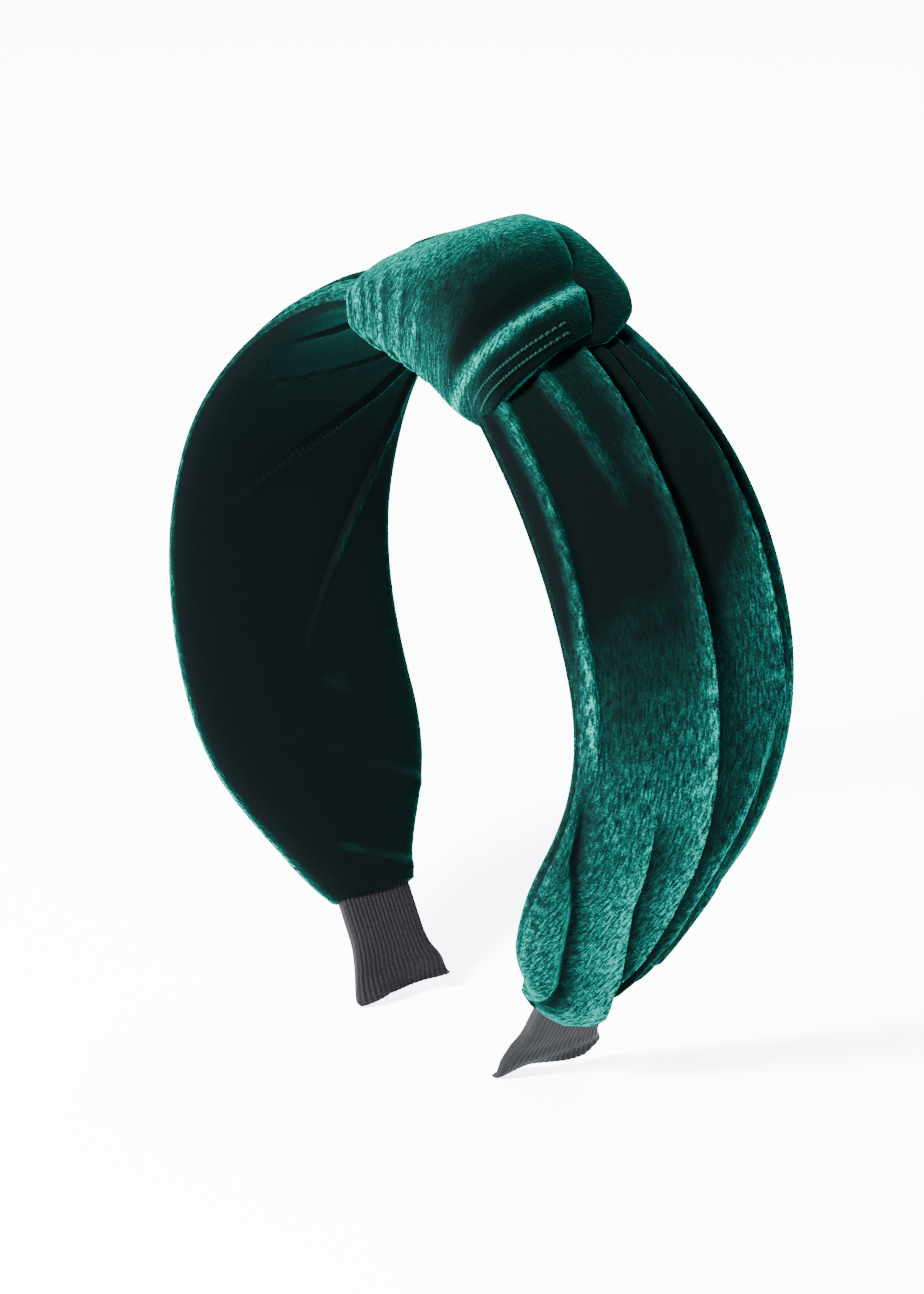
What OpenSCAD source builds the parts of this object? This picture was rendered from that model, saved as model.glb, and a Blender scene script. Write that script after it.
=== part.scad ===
// Knotted headband: a springy plastic hoop in a wide gathered velvet cover,
// knotted at the crown, with ribbon-wrapped tips that it stands on.
// +X is along the hoop from ear to ear, -Y is the front of the head, +Z is up.
// Every piece is laid out along the hoop's middle line: s is the distance along it from
// the crown, q the same without its sign, w the place across the band and t the height
// above the middle line, outwards from the head.

/* [Hoop] */
// Height of the hoop's middle line at the crown
hoop_h = 136; // [114:1:164]
// Width across the hoop's middle line where it is widest
hoop_w = 140; // [118:1:168]
// Height of the widest place
widest_z = 79; // [68:1:94]
// Radius of the bend from the widest place into the straight leg
bend_r = 48; // [40:1:57]
// Distance between the two legs' middle lines where they stand
tip_gap = 48; // [40:1:58]

/* [Plastic core] */
// Width of the plastic strip over the head
core_w = 28; // [20:1:33]
// Width of the plastic strip at its tips
core_tip_w = 13; // [9:0.5:14]
// Thickness of the plastic strip
core_t = 1.4; // [1:0.1:2]
// How far the strip stops short of the ribbon's closed end
core_stop = 5; // [3:0.5:8]

/* [Foam] */
// Thickness of the foam strip on the outside of the core
foam_t = 3; // [2:0.5:4]
// How far the foam stops short of the velvet's hem
foam_stop = 14; // [8:1:24]

/* [Velvet] */
// Width of the gathered velvet band
band_w = 48; // [40:1:58]
// Thickness of the velvet with its pile
velvet_t = 0.9; // [0.7:0.1:1.2]
// Depth of the gathers above the foam
puff = 2.5; // [1.5:0.5:6]
// Length of ribbon that shows below the velvet
tip_show = 21; // [16:1:28]
// Length over which the velvet narrows to its hem
taper_l = 48; // [36:1:60]

/* [Ribbon tips] */
// Width of the ribbon sleeve where it is narrowest
sleeve_w = 15; // [14:0.5:19]
// Width of the ribbon sleeve where it stands
foot_w = 20; // [18:0.5:24]
// Thickness of the folded ribbon
ribbon_t = 0.8; // [0.5:0.1:1]
// How far the sleeve reaches up inside the velvet
sleeve_tuck = 7; // [4:1:12]

/* [Knot] */
// Width of the strip that wraps over the crown, along the hoop
wrap_w = 48; // [38:1:58]
// Height of the knot above the velvet under it
wrap_rise = 11; // [7:1:14]
// Thickness of the wrap under the band and round its edges
wrap_t = 3.2; // [2.5:0.1:4.5]
// How far the wrap moves along the hoop for each millimetre across it
wrap_slant = 0.44; // [0.3:0.02:0.55]
// How far the wrap's middle is from the crown
wrap_shift = 10; // [4:1:14]
// Width of the loop behind the wrap, along the hoop
loop_w = 38; // [30:1:46]
// Height of the loop above the velvet under it
loop_rise = 7; // [5:0.5:9]
// Diameter of the sewing thread
thread_d = 0.6; // [0.4:0.1:0.8]
// Distance from the wrap's hem to its first row of stitching
hem_inset = 2.5; // [1.5:0.5:4]

/* [Fits] */
// Clearance between neighbouring pieces
gap = 0.3; // [0.2:0.05:0.4]

/* [Hidden] */

plastic_black = [0.06, 0.06, 0.07];
foam_white = [0.85, 0.85, 0.82];
velvet_green = [0.02, 0.24, 0.2];
knot_green = [0.03, 0.3, 0.25];
thread_green = [0.02, 0.16, 0.13];
ribbon_grey = [0.2, 0.2, 0.22];

// How square a band's section is: the power of a sine wave, 1 for an ellipse
squareness = 0.5;
// Points round a section, and steps along the crown, the bend and the leg
section_n = 20;
crown_n = 30;
bend_n = 10;
leg_n = 10;

// --- The hoop's middle line, from the crown down one side ---

bend_c = [hoop_w / 2 - bend_r, widest_z];
tip = [tip_gap / 2, 0];
bend_to_tip = tip - bend_c;
bend_end = acos(bend_r / norm(bend_to_tip)) + atan2(bend_to_tip[1], bend_to_tip[0]);
leg_top = bend_c + bend_r * [cos(bend_end), sin(bend_end)];

line = concat(
    [for (i = [0:crown_n]) let (a = 90 * i / crown_n)
        [hoop_w / 2 * sin(a), widest_z + (hoop_h - widest_z) * cos(a)]],
    [for (i = [1:bend_n]) let (a = bend_end * i / bend_n) bend_c + bend_r * [cos(a), sin(a)]],
    [for (i = [1:leg_n]) leg_top + (tip - leg_top) * i / leg_n]
);
last = len(line) - 1;

// Distance along the line to each of its points
function step_l(i) = i < last ? norm(line[i + 1] - line[i]) : 0;
run = [for (i = 0, s = 0; i <= last; s = s + step_l(i), i = i + 1) s];
line_l = run[last];

// Direction of the line at one of its points
function heading(i) =
    let (d = i == 0 ? [1, 0] : line[min(i + 1, last)] - line[i - 1]) d / norm(d);

line_x = [for (i = [0:last]) [run[i], line[i][0]]];
line_z = [for (i = [0:last]) [run[i], line[i][1]]];
head_x = [for (i = [0:last]) [run[i], heading(i)[0]]];
head_z = [for (i = [0:last]) [run[i], heading(i)[1]]];

// The point s along the hoop, w across it and t above it
function at(s, w, t) =
    let (q = abs(s), side = s < 0 ? -1 : 1, dx = lookup(q, head_x), dz = lookup(q, head_z))
    [side * (lookup(q, line_x) - dz * t), w, lookup(q, line_z) + dx * t];

// The point where the leg's line through w and t meets the ground
function foot(side, w, t) =
    let (p = at(side * line_l, w, t), d = heading(last), k = p[2] / -d[1])
    [p[0] + side * d[0] * k, w, 0];

// --- Sections and solids ---

// A number raised to a power with its sign kept
function keep_power(x, e) = sign(x) * pow(abs(x), e);

// Width and height of a squarish section at angle a, as shares of its half sizes
function share_w(a) = keep_power(cos(a), squareness);
function share_t(a) = keep_power(sin(a), squareness);

// Smooth step from 0 to 1 as x goes from lo to hi
function ease(x, lo, hi) =
    let (u = max(0, min(1, (x - lo) / (hi - lo)))) u * u * (3 - 2 * u);

// A ring of points round the band at s, between t_lo and t_hi
function ring(s, half, t_lo, t_hi) =
    [for (j = [0:section_n - 1]) let (a = 360 * j / section_n)
        at(s, half * share_w(a), (t_hi + t_lo) / 2 + (t_hi - t_lo) / 2 * share_t(a))];

// Triangles between ring i and ring k, of n points each
function skin(i, k, n) =
    [for (j = [0:n - 1])
        let (a = i * n + j, b = i * n + (j + 1) % n, c = k * n + j, d = k * n + (j + 1) % n)
        each [[a, d, b], [a, c, d]]];

// Triangles that close ring i, of n points, seen from the side that its order turns to
function cap(i, n) =
    [for (j = [0:n / 2 - 2])
        let (a = i * n + j, b = a + 1, c = i * n + n - 2 - j, d = c + 1)
        each [[a, b, c], [a, c, d]]];

// A closed solid through rings of equal length, an even number of points each
module loft(rings) {
    n = len(rings[0]);
    m = len(rings);
    polyhedron(
        points = [for (r = rings) each r],
        faces = concat(
            [for (i = [0:m - 2]) each skin(i, i + 1, n)],
            cap(0, n),
            [for (f = cap(m - 1, n)) [f[2], f[1], f[0]]]
        )
    );
}

// A closed solid through rings whose last one joins the first, such as a tube's wall
module loop_loft(rings) {
    n = len(rings[0]);
    m = len(rings);
    polyhedron(
        points = [for (r = rings) each r],
        faces = [for (i = [0:m - 1]) each skin(i, (i + 1) % m, n)]
    );
}

// Rings in reverse, each one turned to face the other way along the band
function backwards(rings) = [for (i = [len(rings) - 1:-1:0]) rings[i]];

// --- Sizes along the band ---

hem_q = line_l - tip_show;
taper_q = hem_q - taper_l;
neck_q = gap / 2;
sleeve_half_t = core_t / 2 + gap + ribbon_t;
hem_half = sleeve_w / 2 + gap + velvet_t;
hem_t = sleeve_half_t + gap + velvet_t;
band_lo = -(core_t / 2 + 3 * gap + velvet_t);
band_hi = core_t / 2 + gap + foam_t + puff + velvet_t;

// The core's half width: full over the head, narrow from the start of the ribbon
function core_half(q) = core_w / 2 + (core_tip_w - core_w) / 2 * ease(q, line_l / 2, hem_q - sleeve_tuck);

// How full the velvet is: 1 over the head and 0 at its hem
function fullness(q) = sqrt(1 - pow(max(0, (q - taper_q) / (hem_q - taper_q)), 2));
function velvet_half(q) = hem_half + (band_w / 2 - hem_half) * fullness(q);
function velvet_lo(q) = -hem_t + (band_lo + hem_t) * fullness(q);
function velvet_hi(q) = hem_t + (band_hi - hem_t) * fullness(q);

// The sleeve's half width: narrow in the middle and wider at its foot
function sleeve_half(q) =
    (sleeve_w + (foot_w - sleeve_w) * ease(q, line_l - tip_show * 0.6, line_l)) / 2;

// --- Pieces ---

module hoop_core() {
    end_q = line_l - core_stop;
    n = 48;
    color(plastic_black)
        loft([for (i = [-n:n]) let (s = end_q * i / n)
            ring(s, core_half(abs(s)), -core_t / 2, core_t / 2)]);
}

module foam_strip() {
    end_q = hem_q - foam_stop;
    bottom = core_t / 2 + gap;
    n = 36;
    color(foam_white)
        loft([for (i = [-n:n]) let (s = end_q * i / n)
            ring(s, core_half(abs(s)) - 1, bottom, bottom + foam_t)]);
}

// Velvet tube of one arm, from the crown to its hem
module velvet_tube(side) {
    n = 30;
    stops = [for (i = [0:n]) let (u = i / n) neck_q + (hem_q - neck_q) * (1 - pow(1 - u, 1.4))];
    outer = [for (q = stops) ring(side * q, velvet_half(q), velvet_lo(q), velvet_hi(q))];
    inner = [for (q = stops)
        ring(side * q, velvet_half(q) - velvet_t, velvet_lo(q) + velvet_t, velvet_hi(q) - velvet_t)];
    color(velvet_green) loop_loft(side > 0 ? concat(outer, backwards(inner))
                                           : concat(inner, backwards(outer)));
}

module velvet_left() {
    velvet_tube(-1);
}

module velvet_right() {
    velvet_tube(1);
}

// Ribbon sleeve of one tip: a pocket round the core, closed at the foot it stands on
module tip_sleeve(side) {
    top_q = hem_q - sleeve_tuck;
    outer_l = line_l - sleeve_half_t - top_q;
    pocket_l = line_l - core_stop + gap - top_q;
    n = 10;
    pocket = [for (i = [n:-1:0]) let (q = top_q + pocket_l * i / n)
        ring(side * q, core_half(q) + gap, -core_t / 2 - gap, core_t / 2 + gap)];
    outer = [for (i = [0:n]) let (q = top_q + outer_l * i / n)
        ring(side * q, sleeve_half(q), -sleeve_half_t, sleeve_half_t)];
    sole = [for (j = [0:section_n - 1]) let (a = 360 * j / section_n)
        foot(side, foot_w / 2 * share_w(a), sleeve_half_t * share_t(a))];
    rings = concat(pocket, outer, [sole]);
    color(ribbon_grey) loft(side > 0 ? rings : backwards(rings));
}

module tip_sleeve_left() {
    tip_sleeve(-1);
}

module tip_sleeve_right() {
    tip_sleeve(1);
}

// --- Knot: two shells that clasp the band, the wrap from the front and the loop behind ---

// Angles round the band's section, from the back over the top to the front and under
wrap_from = 74;
wrap_to = 286;
loop_from = -69;
loop_to = 69;
knot_fit = 2 * gap;
knot_half = band_w / 2 + knot_fit;
knot_lo = band_lo - knot_fit;
knot_hi = band_hi + knot_fit;
knot_mid = (knot_lo + knot_hi) / 2;

// A point on a shell: a round the section, s along the hoop and lift above the velvet
function shell_pt(a, s, lift, rise) =
    let (up = max(0, sin(a)), side_l = min(lift, wrap_t), top_l = side_l * (1 - up) + lift / wrap_t * rise * up)
    at(s, (knot_half + side_l) * share_w(a), knot_mid + ((knot_hi - knot_lo) / 2 + top_l) * share_t(a));

// Lift above the velvet at share u of a shell's width: full in the middle, thin at both hems
function crown_lift(u) = wrap_t * (0.45 + 0.55 * sqrt(max(0, 1 - pow(2 * u - 1, 4))));

// Distance along the hoop from a shell's middle to share u of its width, at angle a
function slanted(a, u, width, slant) = width * (u - 0.5) - slant * knot_half * share_w(a);

// A shell from one angle to another, lofted from one end of its arc to the other
module shell(from, to, width, mid, slant, rise) {
    steps = 30;
    across = 10;
    color(knot_green)
        loft([for (i = [0:steps]) let (a = from + (to - from) * i / steps)
            concat(
                [for (k = [0:across]) let (u = k / across)
                    shell_pt(a, mid + slanted(a, u, width, slant), 0, rise)],
                [for (k = [across:-1:0]) let (u = k / across)
                    shell_pt(a, mid + slanted(a, u, width, slant), crown_lift(u), rise)]
            )]);
}

module knot_wrap() {
    shell(wrap_from, wrap_to, wrap_w, wrap_shift, wrap_slant, wrap_rise);
}

module knot_loop() {
    shell(loop_from, loop_to, loop_w, wrap_shift / 2, 0, loop_rise);
}

// A sewing thread swept through a list of points
module thread(points) {
    n = 6;
    last_p = len(points) - 1;
    loft([for (i = [0:last_p])
        let (
            d = points[min(i + 1, last_p)] - points[max(i - 1, 0)],
            out = cross(d, [1, 0, 0]),
            u = out / norm(out),
            v = cross(d, u) / norm(d)
        )
        [for (j = [0:n - 1]) let (a = 360 * j / n) points[i] + thread_d / 2 * (cos(a) * u + sin(a) * v)]]);
}

// Two rows of stitching along the wrap's hem, over the top of the band
module knot_hem_thread() {
    from = wrap_from + 6;
    to = 176;
    steps = 26;
    color(thread_green)
        for (row = [0, 1])
            thread([for (i = [0:steps])
                let (
                    a = from + (to - from) * i / steps,
                    u = 1 - (hem_inset + row * 2 * thread_d) / wrap_w,
                    s = wrap_shift + slanted(a, u, wrap_w, wrap_slant)
                )
                shell_pt(a, s, crown_lift(u) + thread_d / 2 + gap / 2, wrap_rise)]);
}

// Tacking stitches under the crown, across the join of the wrap and the loop
module knot_tack_thread() {
    stitch_n = 4;
    stitch_l = 7;
    stitch_pitch = 6;
    color(thread_green)
        for (i = [0:stitch_n - 1]) {
            s = wrap_shift / 2 + (i - (stitch_n - 1) / 2) * stitch_pitch;
            w = knot_half * (share_w(wrap_to) + share_w(loop_from)) / 2;
            t = knot_lo - wrap_t - thread_d / 2 - knot_fit;
            thread([for (k = [-1, 0, 1]) at(s, w + k * stitch_l / 2, t)]);
        }
}

hoop_core();
foam_strip();
velvet_left();
velvet_right();
knot_wrap();
knot_loop();
knot_hem_thread();
knot_tack_thread();
tip_sleeve_left();
tip_sleeve_right();
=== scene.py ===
"""Knotted velvet headband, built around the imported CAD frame.

Lengths in the shape code are millimetres. Every shape is laid out along the hoop's middle line:
q is the distance from the crown down one leg, w the place across the band (negative at the
front of the head) and t the height above the middle line, outwards from the head. Along the
whole hoop, s is q on the right leg and minus q on the left one.
"""
import math

import bpy
import numpy as np
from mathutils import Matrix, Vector


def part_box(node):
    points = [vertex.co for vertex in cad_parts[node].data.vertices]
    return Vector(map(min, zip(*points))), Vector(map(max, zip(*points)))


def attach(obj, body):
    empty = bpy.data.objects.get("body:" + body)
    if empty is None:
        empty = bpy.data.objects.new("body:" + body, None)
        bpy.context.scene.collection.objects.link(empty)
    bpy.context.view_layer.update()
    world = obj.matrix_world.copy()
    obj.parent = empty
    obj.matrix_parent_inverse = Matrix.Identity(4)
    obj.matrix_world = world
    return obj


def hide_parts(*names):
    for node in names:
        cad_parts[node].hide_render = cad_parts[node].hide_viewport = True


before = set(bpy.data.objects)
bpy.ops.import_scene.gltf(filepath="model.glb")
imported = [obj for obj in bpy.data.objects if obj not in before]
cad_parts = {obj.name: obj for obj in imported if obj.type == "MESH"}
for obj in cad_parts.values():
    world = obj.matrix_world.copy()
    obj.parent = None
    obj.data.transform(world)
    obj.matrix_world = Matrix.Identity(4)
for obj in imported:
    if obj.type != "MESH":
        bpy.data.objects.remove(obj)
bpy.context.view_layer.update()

MM = 0.001
BODY = "root"

# ---------------------------------------------------------------- sizes, from the frame

core_hi = np.array(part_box("hoop_core")[1]) / MM
sole_lo, sole_hi = (np.array(corner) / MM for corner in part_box("tip_sleeve_right"))

CORE_T = 1.4
HOOP_H = core_hi[2] - CORE_T / 2
HALF_W = core_hi[0] - CORE_T / 2
WIDEST_Z = 79.0
BEND_R = 48.0
TIP_X = 24.0
TIP_SHOW = 21.0
FOAM_HALF_W = 13.0
SLEEVE_HALF_T = 1.8
SLEEVE_W = 15.0
FOOT_W = sole_hi[1] - sole_lo[1]


def ease(x, lo, hi):
    """Smooth step from 0 to 1 as x goes from lo to hi."""
    u = np.clip((x - lo) / (hi - lo), 0.0, 1.0)
    return u * u * (3 - 2 * u)


def window(x, start, full, end, gone):
    """0 before start, 1 from full to end, 0 after gone."""
    return ease(x, start, full) * (1 - ease(x, end, gone))


def path(x, *stops):
    """The value at x on the straight lines between (x, value) stops."""
    return np.interp(x, [stop[0] for stop in stops], [stop[1] for stop in stops])


def signed_power(x, power):
    """x to a power, keeping its sign. Below 1 it makes an ellipse's section squarer."""
    return np.sign(x) * np.abs(x) ** power


def hoop_line():
    """Points of the hoop's middle line from the crown to the ground, their run and direction."""
    a = np.linspace(0, math.pi / 2, 300)
    crown = np.stack([HALF_W * np.sin(a), WIDEST_Z + (HOOP_H - WIDEST_Z) * np.cos(a)], 1)
    centre = np.array([HALF_W - BEND_R, WIDEST_Z])
    tip = np.array([TIP_X, 0.0])
    reach = tip - centre
    bend = math.acos(BEND_R / np.hypot(*reach)) + math.atan2(reach[1], reach[0])
    a = np.linspace(0, bend, 150)[1:]
    side = centre + BEND_R * np.stack([np.cos(a), np.sin(a)], 1)
    leg = side[-1] + (tip - side[-1]) * np.linspace(0, 1, 100)[1:, None]
    points = np.concatenate([crown, side, leg])
    run = np.concatenate([[0], np.cumsum(np.hypot(*np.diff(points, axis=0).T))])
    heading = np.gradient(points, run, axis=0)
    return points, run, heading / np.hypot(*heading.T)[:, None]


LINE, RUN, HEADING = hoop_line()
LINE_L = RUN[-1]
HEM_Q = LINE_L - TIP_SHOW


def at(s, w, t):
    """World points in millimetres for s along the hoop, w across it and t above it."""
    s, w, t = np.broadcast_arrays(np.asarray(s, float), w, t)
    q, side = np.abs(s), np.where(s < 0, -1.0, 1.0)
    x, z = np.interp(q, RUN, LINE[:, 0]), np.interp(q, RUN, LINE[:, 1])
    dx, dz = np.interp(q, RUN, HEADING[:, 0]), np.interp(q, RUN, HEADING[:, 1])
    return np.stack([side * (x - dz * t), w, z + dx * t], -1)


# ---------------------------------------------------------------- camera, light and floor

VIEW_AZIMUTH = math.radians(59.3)
VIEW_ELEVATION = math.radians(14.6)
VIEW_DISTANCE = 1155.0
VIEW_PIVOT = Vector((0, 0, 75))
VIEW_TARGET = Vector((-1.4, -2.4, 72.9))
VIEW_LENS = 178.0
SENSOR_W = 36.0

# Metres and watts.
LIGHT_TARGET = Vector((0, 0, 0.08))
FLOOR_SIZE = 12.0
FLOOR_DROP = 0.0002
FLOOR_GLOW = 5.0


def make_camera():
    data = bpy.data.cameras.new("photo_camera")
    data.lens = VIEW_LENS
    data.sensor_width = SENSOR_W
    data.clip_start, data.clip_end = 0.05, 20
    camera = bpy.data.objects.new("photo_camera", data)
    bpy.context.scene.collection.objects.link(camera)
    outward = Vector((
        math.sin(VIEW_AZIMUTH) * math.cos(VIEW_ELEVATION),
        -math.cos(VIEW_AZIMUTH) * math.cos(VIEW_ELEVATION),
        math.sin(VIEW_ELEVATION),
    ))
    camera.location = (VIEW_PIVOT + outward * VIEW_DISTANCE) * MM
    aim = VIEW_TARGET * MM - camera.location
    camera.rotation_euler = aim.to_track_quat("-Z", "Y").to_euler()
    bpy.context.scene.camera = camera


def make_softbox(name, place, size, power):
    """A white square light aimed at the headband."""
    data = bpy.data.lights.new(name, "AREA")
    data.shape = "SQUARE"
    data.size = size
    data.energy = power
    light = bpy.data.objects.new(name, data)
    bpy.context.scene.collection.objects.link(light)
    light.location = place
    light.rotation_euler = (LIGHT_TARGET - Vector(place)).to_track_quat("-Z", "Y").to_euler()


def make_studio():
    world = bpy.data.worlds.new("studio_world")
    world.use_nodes = True
    backdrop = world.node_tree.nodes["Background"]
    backdrop.inputs["Color"].default_value = (0.93, 0.955, 1.0, 1)
    backdrop.inputs["Strength"].default_value = 1.0
    bpy.context.scene.world = world
    make_softbox("key_softbox", place=(0.35, -1.1, 0.8), size=0.30, power=230)
    make_softbox("rim_softbox", place=(-0.9, 0.5, 0.9), size=0.9, power=70)

    floor_material, _, shader = new_material("studio_floor")
    shader.inputs["Base Color"].default_value = (0.9, 0.92, 0.95, 1)
    shader.inputs["Emission Color"].default_value = (0.84, 0.90, 1.0, 1)
    shader.inputs["Emission Strength"].default_value = FLOOR_GLOW
    shader.inputs["Roughness"].default_value = 0.9
    shader.inputs["Specular IOR Level"].default_value = 0.1
    bpy.ops.mesh.primitive_plane_add(size=FLOOR_SIZE, location=(0, 0, -FLOOR_DROP))
    floor = bpy.context.object
    floor.name = "studio_floor"
    floor.data.materials.append(floor_material)


# ---------------------------------------------------------------- mesh helpers

def link_mesh(name, points, faces, material):
    """A smooth mesh object from points in millimetres."""
    mesh = bpy.data.meshes.new(name)
    mesh.from_pydata((points * MM).tolist(), [], faces)
    mesh.polygons.foreach_set("use_smooth", [True] * len(mesh.polygons))
    mesh.materials.append(material)
    mesh.update()
    piece = bpy.data.objects.new(name, mesh)
    bpy.context.scene.collection.objects.link(piece)
    return piece


def tube_walls(index):
    """Quads between the rows of a grid of point numbers whose last column joins the first."""
    wrapped = np.concatenate([index, index[:, :1]], 1)
    quads = [wrapped[:-1, :-1], wrapped[1:, :-1], wrapped[1:, 1:], wrapped[:-1, 1:]]
    return np.stack(quads, -1).reshape(-1, 4)


def grid_piece(name, points, material, uv_mm, painted_light=None):
    """A closed mesh object from a grid of points in millimetres, rows by columns.

    The last column joins the first, and a strip across the first and last rows closes the ends.
    The UV map holds real millimetres, across and along the cloth.
    """
    rows, cols = points.shape[:2]
    index = np.arange(rows * cols).reshape(rows, cols)
    near = np.arange(cols // 2 - 1)
    far = cols - 1 - near
    first, last = index[0], index[-1]
    faces = np.concatenate([
        tube_walls(index),
        np.stack([first[near], first[near + 1], first[far - 1], first[far]], -1),
        np.stack([last[near], last[far], last[far - 1], last[near + 1]], -1),
    ])
    piece = link_mesh(name, points.reshape(-1, 3), faces.tolist(), material)
    u, v = (np.broadcast_to(part, (rows, cols)).reshape(-1)[faces] for part in uv_mm)
    seam = np.arange(rows - 1) * cols + cols - 1
    u[seam, 2:4] = u[seam, 0:1]
    layer = piece.data.uv_layers.new(name="cloth_mm")
    layer.data.foreach_set("uv", np.stack([u, v], -1).reshape(-1))
    # Painted light and shade for the velvet's colour, kept as a value on the points.
    if painted_light is not None:
        painted_lit = piece.data.attributes.new("painted_light", "FLOAT", "POINT")
        painted_lit.data.foreach_set("value", painted_light.reshape(-1))
    return piece


def resample_rows(points, count):
    """Each closed row of a grid resampled to count points evenly spaced by length."""
    points = np.concatenate([points, points[:, :1]], 1)
    out = np.empty((len(points), count, points.shape[2]))
    for i, row in enumerate(points):
        run = np.concatenate([[0], np.cumsum(np.linalg.norm(np.diff(row, axis=0), axis=1))])
        goal = np.linspace(0, run[-1], count + 1)[:-1]
        for k in range(points.shape[2]):
            out[i, :, k] = np.interp(goal, run, row[:, k])
    return out


def run_over(points, axis):
    """Length run over a grid of points along one axis, from zero at its first row or column."""
    start = points[:1] if axis == 0 else points[:, :1]
    return np.cumsum(np.linalg.norm(np.diff(points, axis=axis, prepend=start), axis=2), axis)


def place_piece(piece, slot, *nodes):
    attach(piece, BODY)
    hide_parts(*nodes)


# ---------------------------------------------------------------- materials

def new_material(name):
    material = bpy.data.materials.new(name)
    material.use_nodes = True
    tree = material.node_tree
    return material, tree, tree.nodes["Principled BSDF"]


def add(tree, kind, source=None, into="Vector", **values):
    """A new node with its sockets and settings set by name, and its input linked to a source."""
    node = tree.nodes.new(kind)
    for key, value in values.items():
        if hasattr(node, key):
            setattr(node, key, value)
        else:
            node.inputs[key.replace("_", " ")].default_value = value
    if source is not None:
        tree.links.new(source, node.inputs[into])
    return node


def cloth_uv(tree):
    return add(tree, "ShaderNodeUVMap", uv_map="cloth_mm").outputs["UV"]


def object_place(tree):
    return add(tree, "ShaderNodeTexCoord").outputs["Object"]


def calculate(tree, operation, *inputs, clamp=False):
    """The result of a maths node whose inputs are sockets or plain numbers."""
    node = add(tree, "ShaderNodeMath", operation=operation, use_clamp=clamp)
    for socket, value in zip(node.inputs, inputs):
        if isinstance(value, float):
            socket.default_value = value
        else:
            tree.links.new(value, socket)
    return node.outputs[0]


def map_range(tree, source, from_lo, from_hi, to_lo, to_hi):
    node = add(tree, "ShaderNodeMapRange", source, "Value",
               From_Min=from_lo, From_Max=from_hi, To_Min=to_lo, To_Max=to_hi)
    return node.outputs["Result"]


def ramp(tree, source, *stops):
    """The colour at a source's value, between (place, colour) stops."""
    node = add(tree, "ShaderNodeValToRGB", source, "Fac")
    elements = node.color_ramp.elements
    while len(elements) < len(stops):
        elements.new(0.5)
    for element, (place, colour) in zip(elements, stops):
        element.position = place
        element.color = (*colour, 1)
    return node.outputs["Color"]


def raise_surface(tree, shader, height, strength, distance):
    """Bump the shader's normal by a height, and return that normal."""
    bump = add(tree, "ShaderNodeBump", height, "Height", Strength=strength, Distance=distance)
    tree.links.new(bump.outputs["Normal"], shader.inputs["Normal"])
    return bump.outputs["Normal"]


# How much painted light a point needs for its colour to start and to finish brightening.
LIGHT_PAINT_START, LIGHT_PAINT_FULL = 0.34, 1.15
PATCHINESS = 0.5
# Painted rim highlight: the colour brightens where the surface turns away from the view.
RIM_POWER = 3.8
RIM_GAIN = 1.5


def velvet_material(name):
    """Pile velvet with its light painted into its colour: near black face on, a painted highlight where
    the surface turns away from the view, and painted light where the mesh's value is high.

    The mesh's point value holds painted light, from 0 to 1. Below 0 it is painted shade that dulls the
    painted rim.
    """
    material, tree, shader = new_material(name)
    columns = add(tree, "ShaderNodeMapping", cloth_uv(tree), Scale=(1.9, 0.45, 1))
    knit = add(tree, "ShaderNodeTexNoise", columns.outputs["Vector"], Scale=1.0, Detail=2.0, Roughness=0.6)
    place = object_place(tree)
    pile = add(tree, "ShaderNodeTexNoise", place, Scale=2600.0, Detail=3.0, Roughness=0.75)
    patches = add(tree, "ShaderNodeTexNoise", place, Scale=60.0, Detail=3.0, Roughness=0.55)
    fur = calculate(tree, "MULTIPLY", knit.outputs["Fac"], pile.outputs["Fac"])
    normal = raise_surface(tree, shader, fur, strength=0.5, distance=0.0004)

    # Painted light and shade from the mesh, made uneven by noise patches.
    painted_light = add(tree, "ShaderNodeAttribute", attribute_name="painted_light").outputs["Fac"]
    patchy_painted_light = calculate(tree, "MULTIPLY_ADD", patches.outputs["Fac"], PATCHINESS, painted_light, clamp=True)
    painted_lit = map_range(tree, patchy_painted_light, LIGHT_PAINT_START, LIGHT_PAINT_FULL, 0.0, 1.0)
    # Painted sheen: Layer Weight brightens the base colour at grazing angles.
    facing = add(tree, "ShaderNodeLayerWeight", normal, "Normal", Blend=0.5)
    rim = calculate(tree, "POWER", facing.outputs["Facing"], RIM_POWER)
    shade = calculate(tree, "MINIMUM", painted_light, 0.0)
    shaded_rim = calculate(tree, "MULTIPLY_ADD", rim, RIM_GAIN, shade)
    lit = calculate(tree, "ADD", painted_lit, shaded_rim, clamp=True)
    grain = map_range(tree, fur, 0.14, 0.40, 0.08, 1.8)
    level = calculate(tree, "MULTIPLY", lit, grain, clamp=True)
    # The base colour runs from near black to bright teal with the painted light level.
    colour = ramp(
        tree, level,
        (0.0, (0.0009, 0.0015, 0.0016)),
        (0.35, (0.0009, 0.0086, 0.0072)),
        (0.75, (0.0011, 0.036, 0.0280)),
        (1.0, (0.0030, 0.090, 0.068)),
    )
    tree.links.new(colour, shader.inputs["Base Color"])
    shader.inputs["Roughness"].default_value = 0.9
    shader.inputs["Specular IOR Level"].default_value = 0.0
    shader.inputs["Sheen Weight"].default_value = 0.03
    shader.inputs["Sheen Roughness"].default_value = 0.3
    shader.inputs["Sheen Tint"].default_value = (0.0, 1.0, 0.75, 1)
    return material


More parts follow.
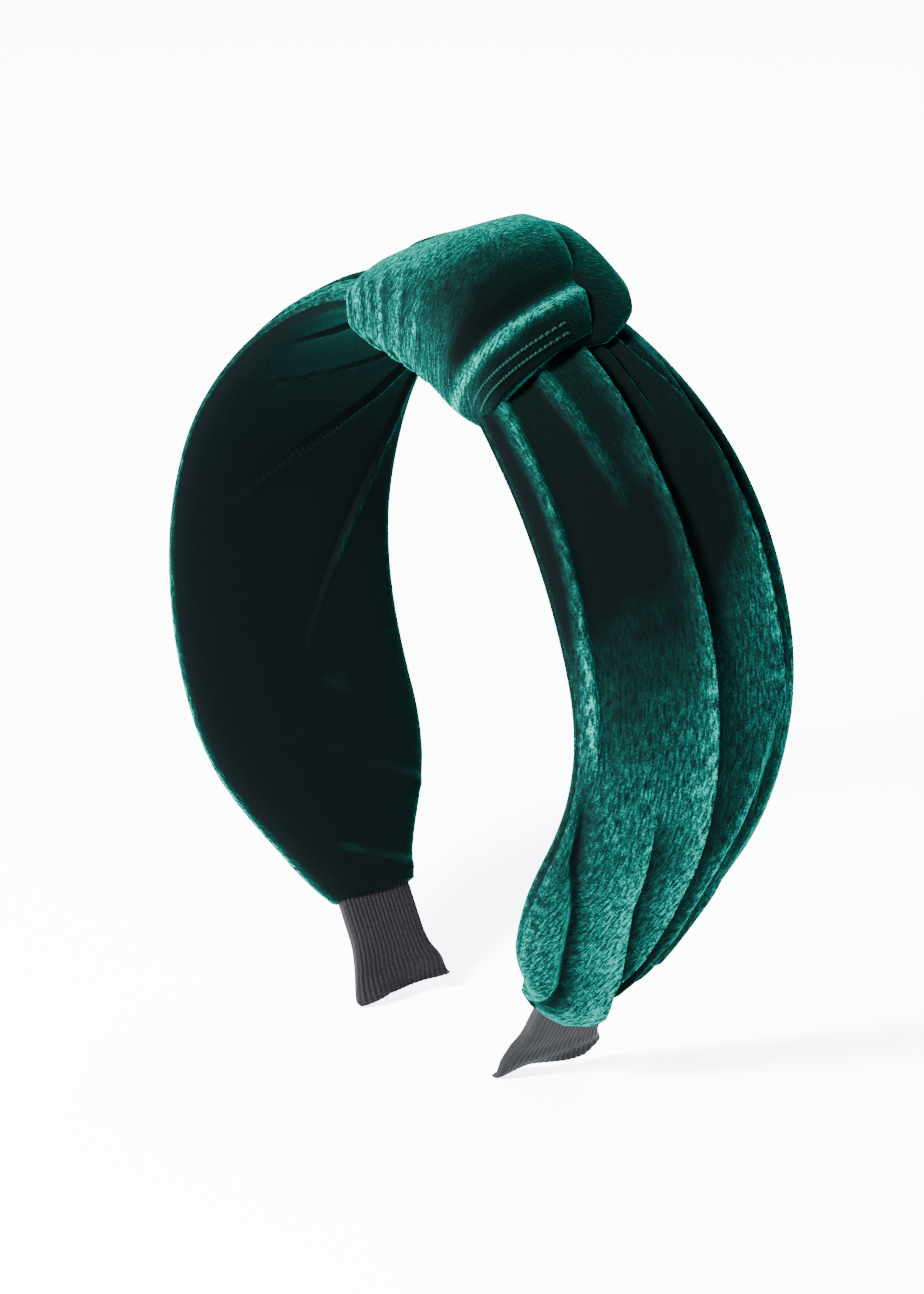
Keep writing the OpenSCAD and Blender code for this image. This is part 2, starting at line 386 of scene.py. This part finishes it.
def ribbon_material():
    """Dark grey grosgrain: the ribs are geometry, so this adds the weave across them."""
    material, tree, shader = new_material("grosgrain_ribbon")
    weave = add(tree, "ShaderNodeTexWave", cloth_uv(tree),
                Scale=1.6, Distortion=0.6, Detail=2.0, bands_direction="Y")
    fibre = add(tree, "ShaderNodeTexNoise", object_place(tree), Scale=2500.0, Detail=3.0).outputs["Fac"]
    colour = ramp(tree, fibre, (0.3, (0.0019, 0.0019, 0.0023)), (0.7, (0.0046, 0.0046, 0.0054)))
    tree.links.new(colour, shader.inputs["Base Color"])
    tree.links.new(map_range(tree, fibre, 0.0, 1.0, 0.5, 0.72), shader.inputs["Roughness"])
    shader.inputs["Specular IOR Level"].default_value = 0.04
    shader.inputs["Sheen Weight"].default_value = 0.01
    shader.inputs["Sheen Roughness"].default_value = 0.4
    raise_surface(tree, shader, weave.outputs["Fac"], strength=0.35, distance=0.0001)
    return material


def thread_material():
    """Green sewing thread with its twist."""
    material, tree, shader = new_material("sewing_thread")
    twist = add(tree, "ShaderNodeTexWave", object_place(tree),
                Scale=900.0, Distortion=1.0, Detail=2.0, bands_direction="DIAGONAL").outputs["Fac"]
    colour = ramp(tree, twist, (0.2, (0.0004, 0.006, 0.0048)), (0.8, (0.001, 0.022, 0.017)))
    tree.links.new(colour, shader.inputs["Base Color"])
    shader.inputs["Roughness"].default_value = 0.8
    shader.inputs["Specular IOR Level"].default_value = 0.05
    raise_surface(tree, shader, twist, strength=0.5, distance=0.0001)
    return material


def plastic_material():
    """Black moulded plastic with a faint grain."""
    material, tree, shader = new_material("moulded_plastic")
    grain = add(tree, "ShaderNodeTexNoise", object_place(tree), Scale=1800.0, Detail=4.0).outputs["Fac"]
    colour = ramp(tree, grain, (0.3, (0.008, 0.008, 0.009)), (0.7, (0.018, 0.018, 0.02)))
    tree.links.new(colour, shader.inputs["Base Color"])
    tree.links.new(map_range(tree, grain, 0.0, 1.0, 0.38, 0.55), shader.inputs["Roughness"])
    raise_surface(tree, shader, grain, strength=0.2, distance=0.0001)
    return material


def foam_material():
    """Cream open-cell foam."""
    material, tree, shader = new_material("open_cell_foam")
    cells = add(tree, "ShaderNodeTexVoronoi", object_place(tree), Scale=1400.0).outputs["Distance"]
    colour = ramp(tree, cells, (0.0, (0.5, 0.48, 0.42)), (0.5, (0.8, 0.79, 0.74)))
    tree.links.new(colour, shader.inputs["Base Color"])
    shader.inputs["Roughness"].default_value = 0.95
    raise_surface(tree, shader, cells, strength=0.6, distance=0.0002)
    return material


def cover_node(node, material):
    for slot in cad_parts[node].material_slots:
        slot.material = material


# ---------------------------------------------------------------- velvet arms

ARM_COLS = 300
ARM_ROWS = 280
OUTLINE_POINTS = 700
START_Q = 0.6
ROW_CROWDING = 1.5

# Section of the velvet tube: heights above the hoop's middle line, and how square its corners are.
ARM_UNDER_T = -2.6
ARM_TOP_T = 1.9
ARM_LOFT = 4.3
LOWER_LOFT = 1.9
LOWER_FROM, LOWER_TO = 80, 130
EDGE_POWER_W, EDGE_POWER_T = 0.55, 0.6
EDGE_DROP = 0.34

# The tube closes over its last 9 mm, nearly to a line, and keeps most of its width.
HEM_ROUND = 9.0
HEM_OPENING = 0.2
HEM_TUCK = 0.4
HEM_W_SHARE = 0.86
HEM_LINE_RUN = 22.0

# Least height of the outer face: over the foam it clears the foam, and beside it the hoop.
OVER_FOAM_T = 4.8
BESIDE_FOAM_DROP = 3.2
FOAM_END_DROP = 3.0
FOAM_END_FROM, FOAM_END_TO = 160, 168
LEAST_SHARE = 0.45

# Painted light and shade on the arms: a painted lit patch on the lower outer face, painted highlights on
# crests and edges, painted shade in troughs and on the inner face.
PAINTED_LIT_PATCH = 0.46
LIT_PATCH_SLANT = 1.6
LIT_PATCH_FROM, LIT_PATCH_TO = 78, 110
CREST_LIGHT_OUTER, CREST_LIGHT_INNER = 0.42, 0.40
TROUGH_SHADE_OUTER, TROUGH_SHADE_LOWER, TROUGH_SHADE_INNER = 0.13, 0.09, 0.05
EDGE_LIGHT = 0.24
RIGHT_REAR_EDGE, RIGHT_FRONT_EDGE = 1.7, -0.3
UNDER_SHADE = 1.1
UNDER_SHADE_FROM, UNDER_SHADE_TO = 40, 110


def ridge(x, width):
    """A round-topped ridge along x = 0."""
    return np.exp(-((x / width) ** 2))


def lip(x, rise, drop, run_in, run_out, edge=0.35):
    """Profile of a fold whose cloth at x < 0 overlaps the cloth at x > 0."""
    before = rise * np.exp(np.minimum(x, 0) / run_in)
    after = -drop * np.exp(-np.maximum(x, 0) / run_out)
    return before * (1 - ease(x, -edge, edge)) + after * ease(x, -edge, edge)


def right_outer(q, w):
    """Height of the pleats on the outer face of the right arm."""
    main = path(q, (25, 1), (34, 0), (60, 0), (94, 2), (142, 3), (155, 2), (172, -3))
    h = ease(q, 24, 40) * lip(w - main, rise=1.2, drop=1.6 + 1.6 * ease(q, 90, 150), run_in=2.6, run_out=7)
    front = path(q, (30, -21), (53, -22.5), (86, -22.5), (96, -22), (125, -21), (137, -17), (160, -12))
    h += window(q, 28, 42, 98, 116) * 1.2 * ridge(w - front, 1.3)
    h -= ease(q, 104, 122) * 2.0 * ridge(w - front, 1.4)
    second = path(q, (25, -9), (41, -12), (52, -11), (70, -8))
    h += window(q, 22, 36, 44, 75) * 1.0 * ridge(w - second, 1.8)
    short = path(q, (28, 3), (37, 5), (47, 5.5))
    h += window(q, 20, 30, 38, 56) * lip(w - short, rise=0.5, drop=1.0, run_in=2, run_out=2.5)
    rear = path(q, (22, 6), (30, 8), (38, 10), (47, 13), (55, 14.5), (76, 16.5), (100, 17.5))
    h += window(q, 18, 30, 84, 106) * lip(w - rear, rise=0.9, drop=1.8, run_in=3, run_out=2.2)
    pocket = path(q, (115, -8.5), (135, -7), (155, -2), (170, -1))
    h += ease(q, 112, 132) * lip(w - pocket, rise=1.1, drop=3.6, run_in=3, run_out=2.6)
    tail = path(q, (95, 15), (111, 12), (126, 8.5), (154, 8), (168, 3))
    h += ease(q, 98, 124) * 1.4 * ridge(w - tail, 1.8)
    tail_valley = path(q, (95, 17.5), (113, 14.5), (126, 11.5), (149, 10.5), (166, 5))
    h -= ease(q, 98, 118) * 1.4 * ridge(w - tail_valley, 1.5)
    return h


def left_outer(q, w):
    """The left arm's outer face, which faces away from the viewer: pleats running off the knot."""
    main = path(q, (25, -3), (40, -2), (70, 0), (110, -2), (150, -3), (170, 0))
    h = ease(q, 24, 40) * lip(main - w, rise=1.2, drop=1.6 + 1.4 * ease(q, 90, 150), run_in=6, run_out=7)
    front = path(q, (10, -8), (24, -11), (40, -14), (60, -17), (90, -19))
    h += window(q, 8, 18, 70, 100) * lip(front - w, rise=0.8, drop=1.6, run_in=3, run_out=2.5)
    rear = path(q, (20, 10), (45, 14), (90, 18))
    h += window(q, 18, 30, 80, 110) * 1.0 * ridge(w - rear, 2.0)
    pocket = path(q, (115, 9), (135, 8), (155, 4), (168, 1))
    h += ease(q, 112, 132) * lip(pocket - w, rise=0.9, drop=2.6, run_in=4, run_out=3)
    tail = path(q, (100, -15), (126, -10), (154, -8), (166, -4))
    h += ease(q, 98, 124) * 1.4 * ridge(w - tail, 2.0)
    return h


# Each drawn crease of the inner face: its (q, w) stops, its rise, and where it fades in and out.
CREASES = (
    (((4, -4), (18, -6), (37, -10), (48, -18)), 0.8, (6, 16, 36, 48)),
    (((44, 22), (50, 15), (55, 8), (58, -1), (59, -12)), 0.7, (30, 40, 54, 66)),
    (((20, 9), (40, 11), (60, 16), (68, 12), (76, 4), (84, -5), (92, -16)), 1.0, (14, 30, 78, 96)),
    (((20, 15), (50, 20), (76, 19), (88, 16), (98, 12), (106, 8), (121, 0)), 0.9, (14, 34, 100, 128)),
)


def left_inner(q, w):
    """Rise of the creases on the inner face of the left arm, with two short tucks by the hem."""
    h = np.zeros_like(w)
    for stops, rise, span in CREASES:
        h += window(q, *span) * lip(path(q, *stops) - w, rise, drop=0.7 * rise, run_in=1.1, run_out=5)
    h += window(q, 138, 150, 153, 160) * 0.5 * ridge(q - 150 - 0.4 * (w - 12), 1.2) * ease(w, 4, 10)
    h += ease(q, 150, 160) * 0.5 * ridge(q - 165 - 0.5 * w, 1.2) * ease(w, -9, -3)
    return h


def right_inner(q, w):
    """The right arm's inner face can't be seen, so it has the left one's creases, shallower."""
    return left_inner(q, w) * 0.7


# Outlines are w at the front and rear edge for each q, and the hem's drop for each w.
ARMS = {
    "left": {
        "side": -1,
        "outer": left_outer,
        "inner": left_inner,
        "front": ((0, -20), (12, -18.5), (22, -17), (36, -17.2), (55, -20.2), (75, -23.2),
                  (95, -24.2), (120, -24.6), (138, -24.8), (150, -21.2), (160, -15.2), (172, -9.2)),
        "rear": ((0, 15), (20, 18), (45, 21), (64, 22.4), (84, 22.8), (97, 22.2), (124, 22.2),
                 (140, 21), (152, 17), (162, 11.4), (172, 8.4)),
        "hem": ((-10, 0.6), (0, 0), (8, -1.6)),
    },
    "right": {
        "side": 1,
        "outer": right_outer,
        "inner": right_inner,
        "front": ((0, -20), (30, -23), (50, -25.5), (69, -25.8), (86, -24.8), (100, -23), (112, -22.6),
                  (123, -23.6), (132, -24.6), (145, -23.2), (158, -19.6), (168, -15.4), (172, -13.4)),
        "rear": ((0, 14), (31, 16.5), (52, 18.8), (65, 20), (87, 20.8), (97, 20.6), (105, 19.8),
                 (126, 16.8), (136, 15.4), (150, 13), (160, 10.6), (172, 7.8)),
        "hem": ((-15, -5), (-11, -1.2), (-6, 1.6), (-1, 0.6), (2, -1.4), (8, -3)),
    },
}


def smooth_path(q, stops):
    """Like path, with the corners between the stops rounded over a few millimetres."""
    return np.mean([path(q + step, *stops) for step in (-6.0, -3.0, 0.0, 3.0, 6.0)], axis=0)


def arm_section(q, front, rear, closing, low, high):
    """The plain tube's (w, t) points round each row, before its pleats."""
    w_front, w_rear = smooth_path(q, front), smooth_path(q, rear)
    a = np.linspace(0, 2 * math.pi, OUTLINE_POINTS, endpoint=False)[None, :]
    across, upward = signed_power(np.cos(a), EDGE_POWER_W), signed_power(np.sin(a), EDGE_POWER_T)
    half_w = (w_rear - w_front) / 2 * (HEM_W_SHARE + (1 - HEM_W_SHARE) * closing)
    w = (w_rear + w_front) / 2 + half_w * across
    crown = np.where(upward > 0, 1 - EDGE_DROP * across ** 2, 1.0)
    t = (high + low) / 2 + (high - low) / 2 * upward * crown
    return resample_rows(np.stack([w, t], -1), ARM_COLS)


def arm_painted_light(q, w, share, pleats, side):
    """Painted light and shade over an arm, from its pleats and its place."""
    outside = share > 0
    # Painted lit patch on the lower outer face.
    painted_lit = PAINTED_LIT_PATCH * ease(q + LIT_PATCH_SLANT * np.clip(w, 0, 20), LIT_PATCH_FROM, LIT_PATCH_TO)
    # Painted highlight on pleat crests.
    crest = np.clip(pleats, 0, 1.2) * np.where(outside, CREST_LIGHT_OUTER, CREST_LIGHT_INNER)
    # Painted shade in pleat troughs, deeper on the outer face towards the hem.
    trough_outer = TROUGH_SHADE_OUTER + TROUGH_SHADE_LOWER * ease(q, 104, 130)
    trough = np.clip(-pleats, 0, 2.4) * np.where(outside, trough_outer, TROUGH_SHADE_INNER)
    # Painted highlight along the edges; on the right arm it is stronger at the rear edge and turns to
    # painted shade at the front one.
    edge = 1 - ease(np.abs(share), 0, 0.55)
    if side > 0:
        edge = edge * np.where(w > 0, RIGHT_REAR_EDGE, RIGHT_FRONT_EDGE)
    # Painted shade on the inner face near the crown.
    shaded = np.where(share < -0.1, UNDER_SHADE * (1 - ease(q, UNDER_SHADE_FROM, UNDER_SHADE_TO)), 0.0)
    return np.where(outside, painted_lit, 0.0) + crest - trough + EDGE_LIGHT * edge - shaded


def make_arm(label, side, outer, inner, front, rear, hem, material):
    """One arm's velvet tube, from just off the crown to its gathered hem."""
    crowding = 1 - (1 - np.linspace(0, 1, ARM_ROWS)) ** ROW_CROWDING
    q = (START_Q + (HEM_Q - START_Q) * crowding)[:, None]
    near_hem = np.clip((q - (HEM_Q - HEM_ROUND)) / (HEM_ROUND + HEM_OPENING), 0, 1)
    closing = np.sqrt(1 - near_hem ** 2)
    low = ARM_UNDER_T - HEM_TUCK * (1 - closing)
    high = ARM_TOP_T + (ARM_LOFT + LOWER_LOFT * ease(q, LOWER_FROM, LOWER_TO)) * closing
    section = arm_section(q, front, rear, closing, low, high)
    w, plain_t = section[..., 0], section[..., 1]
    q = np.broadcast_to(q, w.shape)

    share = np.clip((plain_t - (high + low) / 2) / ((high - low) / 2), -1, 1)
    fade = np.minimum(1, 2.2 * np.abs(share)) ** 0.7
    pleats = np.where(share > 0, fade * outer(q, w), fade * inner(q, w))
    t = plain_t + np.where(share > 0, pleats, -pleats)
    beside_foam = BESIDE_FOAM_DROP * ease(np.abs(w), FOAM_HALF_W + 0.5, FOAM_HALF_W + 3.5)
    past_foam = FOAM_END_DROP * ease(q, FOAM_END_FROM, FOAM_END_TO)
    clear_t = np.minimum(OVER_FOAM_T - beside_foam - past_foam, plain_t)
    least_t = np.maximum(low + LEAST_SHARE * (plain_t - low), clear_t)
    t = np.where(share > 0, np.maximum(t, least_t), t)

    hem_drop = path(w, *hem) * ease(q, HEM_Q - HEM_LINE_RUN, HEM_Q)
    points = at(side * (q + hem_drop), w, t)
    girth = run_over(section, axis=1)
    # Painted light and shade for the velvet's colour.
    painted_light = arm_painted_light(q, w, share, pleats, side)
    if side > 0:
        points, painted_light, girth = points[:, ::-1], painted_light[:, ::-1], girth[:, ::-1]
    return grid_piece(f"velvet_arm_{label}", points, material, uv_mm=(girth, q), painted_light=painted_light)


def make_arms(material):
    for label, shape in ARMS.items():
        piece = make_arm(label, **shape, material=material)
        place_piece(piece, "velvet", f"velvet_{label}")


# ---------------------------------------------------------------- knot

# The knot goes round the band's section, whose middle is this far above the hoop's middle line.
BAND_MID_T = 2.0
ROUND_BAND_POWER = 0.62

# The wrap runs aslant over the crown: its middle moves from the rear edge to the front one.
WRAP_W = 48.0
WRAP_MIDDLE_S = 10
WRAP_SLANT = 11
WRAP_HALF_W = 23.6
WRAP_HALF_T = 5.2
WRAP_SIDE_LIFT = 3.2
WRAP_LINING_HALF_W = 22.6
WRAP_LINING_HALF_T = 4.6
WRAP_LAST_ANGLE = math.radians(288)
FOLD_SHARE = 0.07

# Height across the wrap from its left edge to its hem, as shares of width and of full height.
WRAP_HUMP = ((0, 0.04), (0.04, 0.22), (0.12, 0.40), (0.25, 0.64), (0.40, 0.90), (0.54, 1.0),
             (0.66, 0.90), (0.76, 0.62), (0.82, 0.48), (0.88, 0.46), (0.94, 0.38), (0.98, 0.22), (1, 0.08))
# Each gather at the front: its place across the wrap, and its height.
GATHERS = ((0.06, 1.0), (0.15, 1.5), (0.22, 0.8), (0.30, 1.6), (0.42, 1.3), (0.54, 0.8))
GATHER_SLANT = 0.10
GATHER_WIDTH = 0.020

LOOP_LEFT_S = -16
LOOP_HALF_W = 20.6
LOOP_HALF_T = 4.6
LOOP_SIDE_LIFT = 2.6
LOOP_LINING_HALF_W = 19.8
LOOP_LINING_HALF_T = 4.2


def round_band(angle):
    """Across and upward shares of a point at an angle round the band, 0 to the rear, 90 on top."""
    return signed_power(np.cos(angle), ROUND_BAND_POWER), signed_power(np.sin(angle), ROUND_BAND_POWER)


def wrap_lift(angle, u):
    """Height of the wrap above the band, with its hem roll and its gathered front edge."""
    degrees = np.degrees(angle)
    hump = np.mean([path(u + step, *WRAP_HUMP) for step in (-0.02, 0, 0.02)], axis=0)
    full = path(degrees, (60, 9.4), (90, 10.4), (120, 9.8), (150, 8.6), (175, 5.0), (200, 2.6), (300, 1.5))
    crowned = 1 - np.abs(2 * u - 1) ** 6
    underneath = path(degrees, (60, 0), (150, 0), (190, 1.0), (300, 1.0))
    lift = full * (hump * (1 - underneath) + crowned * underneath)
    front = window(degrees, 138, 168, 215, 250)
    for place, height in GATHERS:
        lift = lift + height * front * ridge(u - place - GATHER_SLANT * (angle - math.pi), GATHER_WIDTH)
    top = window(degrees, 60, 90, 150, 175)
    return lift - 0.7 * top * ridge(u - 0.79, 0.045) + 0.7 * top * ridge(u - 0.875, 0.03)


def wrap_place(across, u):
    """Where along the hoop a point lies that is u across the wrap and this far across the band."""
    return WRAP_MIDDLE_S - WRAP_SLANT * across + WRAP_W * (u - 0.5)


def wrap_outside(angle, u, lift, side_lift=WRAP_SIDE_LIFT):
    """Points of the wrap's outside. At the band's edges the lift across is held to side_lift."""
    across, upward = round_band(angle)
    w = (WRAP_HALF_W + np.minimum(lift, side_lift)) * across
    return at(wrap_place(across, u), w, BAND_MID_T + (WRAP_HALF_T + lift) * upward)


def make_wrap(material):
    """The strip tied over the crown, from its rear fold over the top, round the front and under."""
    u = np.linspace(0, 1, 170)[None, :]
    v = np.linspace(0, 1, 260)[:, None]
    first = np.radians(path(u, (0, 70), (0.3, 75), (0.6, 80), (0.85, 86), (1, 89)))
    angle = first + (WRAP_LAST_ANGLE - first) * np.clip((v - 0.03) / 0.97, 0, 1)
    fold = np.sqrt(np.clip(1 - (1 - ease(v, 0, FOLD_SHARE)) ** 2, 0, 1))
    lift = wrap_lift(angle, u) * fold
    outside = wrap_outside(angle, u, lift)
    lining_across, lining_upward = round_band(first + (WRAP_LAST_ANGLE - first) * v)
    lining = at(wrap_place(round_band(angle)[0], u), WRAP_LINING_HALF_W * lining_across,
                BAND_MID_T + WRAP_LINING_HALF_T * lining_upward)

    # Painted light and shade on the wrap. An even base of painted light is added first. It is brighter
    # where the lift rises across the wrap and has a painted highlight on the roll by the hem. Painted
    # shade fills the valley before it, and painted light grows round the front and under.
    slope = lift - np.roll(lift, 6, axis=1)
    painted_light = 0.25 + 0.16 * slope + 0.55 * ridge(u - 0.865, 0.026)
    painted_light = painted_light - 0.14 * ridge(u - 0.78, 0.04) + 0.12 * ease(np.degrees(angle), 140, 180)
    painted_light = np.concatenate([painted_light, np.zeros_like(lift)], 1)
    points = np.concatenate([outside, lining[:, ::-1]], 1)
    wrap = grid_piece("knot_wrap_velvet", points, material,
                      uv_mm=(run_over(points, axis=1), run_over(points, axis=0)), painted_light=painted_light)
    place_piece(wrap, "velvet", "knot_wrap")


def make_loop(material):
    """The lobe behind the wrap, which comes out from under it and turns round the rear edge."""
    u = np.linspace(0, 1, 120)[None, :]
    degrees = np.linspace(-72, 96, 170)[:, None]
    across, upward = round_band(np.radians(degrees))
    right_s = path(degrees, (-72, 10), (0, 12), (40, 19), (60, 28), (84, 34), (96, 35))
    s = LOOP_LEFT_S + (right_s - LOOP_LEFT_S) * u
    full = path(degrees, (-72, 1.0), (-20, 1.6), (10, 2.6), (40, 6.0), (60, 8.4), (84, 8.0), (96, 6.0))
    crowned = np.sqrt(np.clip(1 - np.abs(2 * u - 1) ** 2.6, 0, 1))
    lift = full * crowned * (1 - 0.45 * ease(u, 0.45, 1.0))
    outside = at(s, (LOOP_HALF_W + np.minimum(lift, LOOP_SIDE_LIFT)) * across,
                 BAND_MID_T + (LOOP_HALF_T + lift) * upward)
    lining = at(s, LOOP_LINING_HALF_W * across, BAND_MID_T + LOOP_LINING_HALF_T * upward)

    # Painted shade over the lobe that dulls its rim, with painted light along its right edge.
    painted_light = np.broadcast_to(-0.12 + 0.25 * ease(u, 0.9, 1.0), lift.shape)
    painted_light = np.concatenate([painted_light, np.zeros_like(lift)], 1)
    points = np.concatenate([outside, lining[:, ::-1]], 1)
    loop = grid_piece("knot_loop_velvet", points, material,
                      uv_mm=(run_over(points, axis=1), run_over(points, axis=0)), painted_light=painted_light)
    place_piece(loop, "velvet", "knot_loop")


# ---------------------------------------------------------------- stitches

HEM_ROWS = (0.945, 0.972)
HEM_STITCH_ENDS = np.radians(np.linspace(92, 176, 30))
HEM_STITCH_GAP = 0.08
TACK_PLACES = (-3.0, 1.0, 5.0, 9.0)
TACK_W, TACK_L = 8.5, 5.0
TACK_T = -4.9
STITCH_R = 0.22
STITCH_STEPS = np.linspace(0, 1, 9)
STITCH_SIDES = 8


def unit(vectors):
    return vectors / np.linalg.norm(vectors, axis=1)[:, None]


def make_stitches(name, centres, outward, material, node):
    """Short closed threads along the given centre lines, as one piece that stands for a node."""
    ring = np.linspace(0, 2 * math.pi, STITCH_SIDES, endpoint=False)[None, :, None]
    radius = STITCH_R * np.sqrt(np.clip(1 - np.abs(2 * STITCH_STEPS - 1) ** 8, 0.05, 1))
    stitch_points = len(STITCH_STEPS) * STITCH_SIDES
    tubes, faces = [], []
    for centre, away in zip(centres, outward):
        forward = unit(np.gradient(centre, axis=0))
        aside = unit(np.cross(forward, away))
        upward = np.cross(aside, forward)
        spokes = np.cos(ring) * aside[:, None] + np.sin(ring) * upward[:, None]
        index = len(tubes) * stitch_points + np.arange(stitch_points).reshape(-1, STITCH_SIDES)
        faces += tube_walls(index).tolist() + [index[0].tolist(), index[-1, ::-1].tolist()]
        tubes.append((centre[:, None] + radius[:, None, None] * spokes).reshape(-1, 3))
    piece = link_mesh(name, np.concatenate(tubes), faces, material)
    place_piece(piece, "thread", node)


def make_hem_stitches(material):
    """Two rows along the wrap's hem, each stitch dipping into the velvet at its ends."""
    centres, outward = [], []
    proud = 0.15 - 0.45 * np.abs(2 * STITCH_STEPS - 1) ** 3
    for place in HEM_ROWS:
        for start, stop in zip(HEM_STITCH_ENDS[:-1], HEM_STITCH_ENDS[1:]):
            angle = start + (stop - start) * (HEM_STITCH_GAP + (1 - 2 * HEM_STITCH_GAP) * STITCH_STEPS)
            u = np.full_like(angle, place)
            lift = wrap_lift(angle, u)
            centres.append(wrap_outside(angle, u, lift + proud, WRAP_SIDE_LIFT + proud))
            outward.append(wrap_outside(angle, u, lift + 1, WRAP_SIDE_LIFT + 1) - centres[-1])
    make_stitches("knot_hem_stitches", centres, outward, material, "knot_hem_thread")


def make_tack_stitches(material):
    """Tacking under the crown, across the place where the wrap and the lobe meet."""
    w = TACK_W + TACK_L * STITCH_STEPS
    t = TACK_T + 0.9 * np.abs(2 * STITCH_STEPS - 1) ** 3 + 0.8 * STITCH_STEPS
    centres = [at(s, w, t) for s in TACK_PLACES]
    outward = [at(s, w, t - 1) - at(s, w, t) for s in TACK_PLACES]
    make_stitches("knot_tack_stitches", centres, outward, material, "knot_tack_thread")


# ---------------------------------------------------------------- ribbon tips

TIP_ROWS = 60
TIP_COLS = 320
RIB_PITCH = 0.85
RIB_RISE = 0.2
TIP_TUCK = 6.0
TIP_POWER = 0.5
FLARE_SHARE = 0.62
FLARE_THINNING = 0.25
TIP_SHIFT_W = -1.0
FOOT_RISE_RUN = 15.0
WAVE_RISE = 1.0
RIPPLE_RISE = 0.3


def make_tip(label, side, corner_lift, material):
    """Grosgrain folded round the tip: ribs along the leg, narrow below the hem, flared at the foot."""
    q = np.linspace(HEM_Q - TIP_TUCK, LINE_L, TIP_ROWS)[:, None]
    flare = ease(q, LINE_L - TIP_SHOW * FLARE_SHARE, LINE_L)
    half_w = (SLEEVE_W + (FOOT_W - SLEEVE_W) * flare) / 2
    half_t = SLEEVE_HALF_T * (1 - FLARE_THINNING * flare)
    a = np.linspace(0, 2 * math.pi, 900, endpoint=False)[None, :]
    outline = [half_w * signed_power(np.cos(a), TIP_POWER), half_t * signed_power(np.sin(a), TIP_POWER)]
    section = resample_rows(np.stack(outline, -1), TIP_COLS)
    w, t = section[..., 0], section[..., 1]
    girth = run_over(section, axis=1)
    q = np.broadcast_to(q, w.shape)

    ribs = round(girth[0, -1] / RIB_PITCH)
    phase = np.arange(TIP_COLS)[None, :] / TIP_COLS * ribs * 2 * math.pi
    t = t + RIB_RISE * np.abs(np.sin(phase / 2)) * np.sign(t)
    w = w + TIP_SHIFT_W
    foot = ease(q, LINE_L - FOOT_RISE_RUN, LINE_L)
    t = t + WAVE_RISE * ease(q, LINE_L - 5, LINE_L - 0.5) * np.sin((w + 2) / 9 * math.pi)
    t = t + RIPPLE_RISE * foot * np.sin(0.75 * q + 0.3 * w)
    raised = path(w, (-11, 0), (-5, 1.8), (2, 2.2), (6, 2.6), (8.5, 0.45 * corner_lift + 1.2),
                  (10.5, corner_lift))
    points = at(side * (q - raised * foot), w, t)
    points[..., 2] -= ease(q, LINE_L - 4, LINE_L) * (points[..., 2] - raised)
    if side > 0:
        points = points[:, ::-1]
    piece = grid_piece(f"ribbon_tip_{label}", points, material, uv_mm=(girth, q))
    place_piece(piece, "ribbon", f"tip_sleeve_{label}")


# ---------------------------------------------------------------- build

make_camera()
make_studio()
velvet = velvet_material("velvet_pile")
make_arms(velvet)
make_wrap(velvet)
make_loop(velvet)
ribbon = ribbon_material()
make_tip("left", -1, 4.0, ribbon)
make_tip("right", 1, 8.0, ribbon)
thread = thread_material()
make_hem_stitches(thread)
make_tack_stitches(thread)
cover_node("hoop_core", plastic_material())
cover_node("foam_strip", foam_material())
